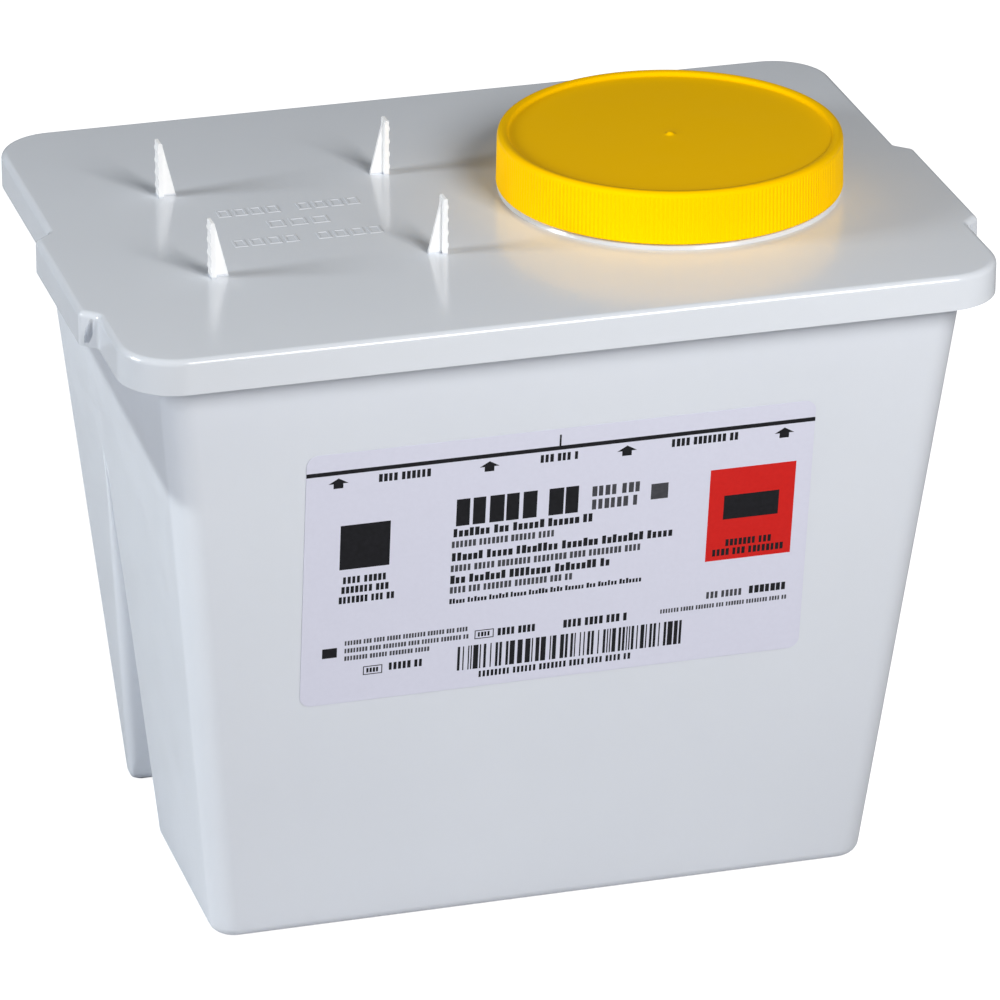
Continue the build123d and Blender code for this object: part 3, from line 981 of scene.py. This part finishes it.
def add_flagged_light(name):
    """A small light behind a flag whose lower edge casts a clean line on the -x end wall: the
    wall is lit below the line only."""
    source = Vector((-0.86, -0.08, 0.40))
    line_a, line_b = Vector((-0.1202, 0.0232, 0.1628)), Vector((-0.1197, -0.0672, 0.1581))
    flag_share = 0.7                       # the flag's place on the way from light to line
    flag_half_width, flag_height = 0.17, 0.14
    travel = (line_a + line_b) / 2 - source
    light = add_light(name, "DISK", (0.012,), source, travel, travel.length, level=0.40,
                      colour=(0.96, 1.0, 0.97))
    # the flag stands above the plane through the light and the line
    edge_a, edge_b = source.lerp(line_a, flag_share), source.lerp(line_b, flag_share)
    middle, along = (edge_a + edge_b) / 2, (edge_b - edge_a).normalized()
    rise = along.cross(travel.normalized()) * flag_height
    reach = along * flag_half_width
    corners = (middle - reach, middle + reach, middle + reach + rise, middle - reach + rise)
    flag = add_sheet(name + "_flag", [tuple(v) for v in corners], flag_material(name + "_flag"))
    # only this light is cut off by the flag
    light.light_linking.blocker_collection = object_set(
        name + "_blocked", (flag, bin_shell, lid_shell, cap_piece))
    for other in [o for o in scene.objects if o.type == "LIGHT" and o is not light]:
        blockers = object_set(other.name + "_blockers", ())
        other.light_linking.blocker_collection = blockers
        blockers.objects.link(flag)
        blockers.collection_objects[-1].light_linking.link_state = "EXCLUDE"
    light.light_linking.receiver_collection = object_set(name + "_receivers", (bin_shell,))


add_flagged_light("low_left")

# ------------------------------------------------------------------ camera
camera_data = bpy.data.cameras.new("camera")
camera_data.sensor_width = 36.0
camera_data.sensor_fit = "HORIZONTAL"
camera_data.lens = 244.769
camera_data.clip_start, camera_data.clip_end = 0.05, 60.0
camera = link_object("camera", camera_data)
# in front of the label, a little to the -x side, looking down; the last column is its place
camera.matrix_world = Matrix(((0.96124008, 0.11122639, -0.25228200, -0.530409),
                              (-0.27570383, 0.39512146, -0.87627988, -1.854528),
                              (0.00221659, 0.91187045, 0.41047212, 0.977204),
                              (0.0, 0.0, 0.0, 1.0)))
scene.camera = camera
scene.view_settings.view_transform = "Standard"
scene.view_settings.look = "None"
scene.view_settings.exposure = 0.0
scene.view_settings.gamma = 1.0
